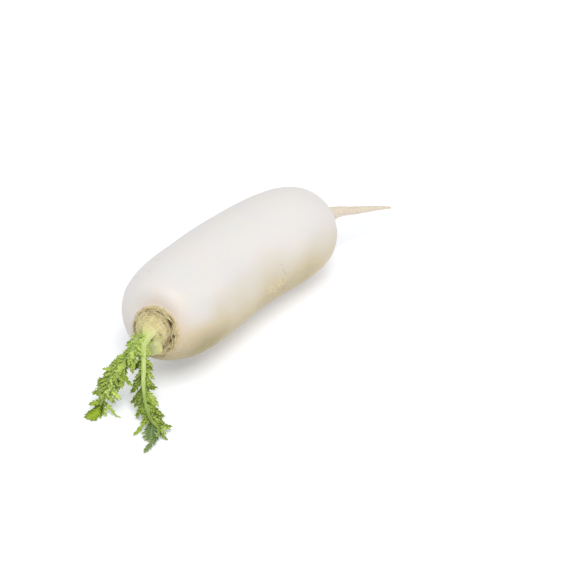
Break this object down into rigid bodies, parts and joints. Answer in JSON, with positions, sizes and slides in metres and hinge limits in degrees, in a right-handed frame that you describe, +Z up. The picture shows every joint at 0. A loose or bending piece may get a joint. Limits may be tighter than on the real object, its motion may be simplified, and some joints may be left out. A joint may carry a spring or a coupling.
{
  "type": "white radish",
  "caption": "Whole stout white radish lying on its side, gently bent, with a scarred crown, a thin tail root and small drooping toothed leaves.",
  "frame": {"origin": "middle of the small flat spot under the belly that the root rests on, at z = 0", "axes": "+X runs from the crown to the tail, +Z up, and the leaves hang from the crown toward -X and -Y"},
  "size_m": [0.334, 0.1385, 0.0803],
  "materials": {
    "root_skin": "smooth living skin, warm white with a soft waxy sheen, cream-green and tan at the crown",
    "leaf": "thin crinkled leaf, yellow-green with darker folds and a pale stalk"
  },
  "bodies": {
    "root": {"radish_root": "root_skin", "leaf_left": "leaf", "leaf_front": "leaf"}
  },
  "joints": []
}
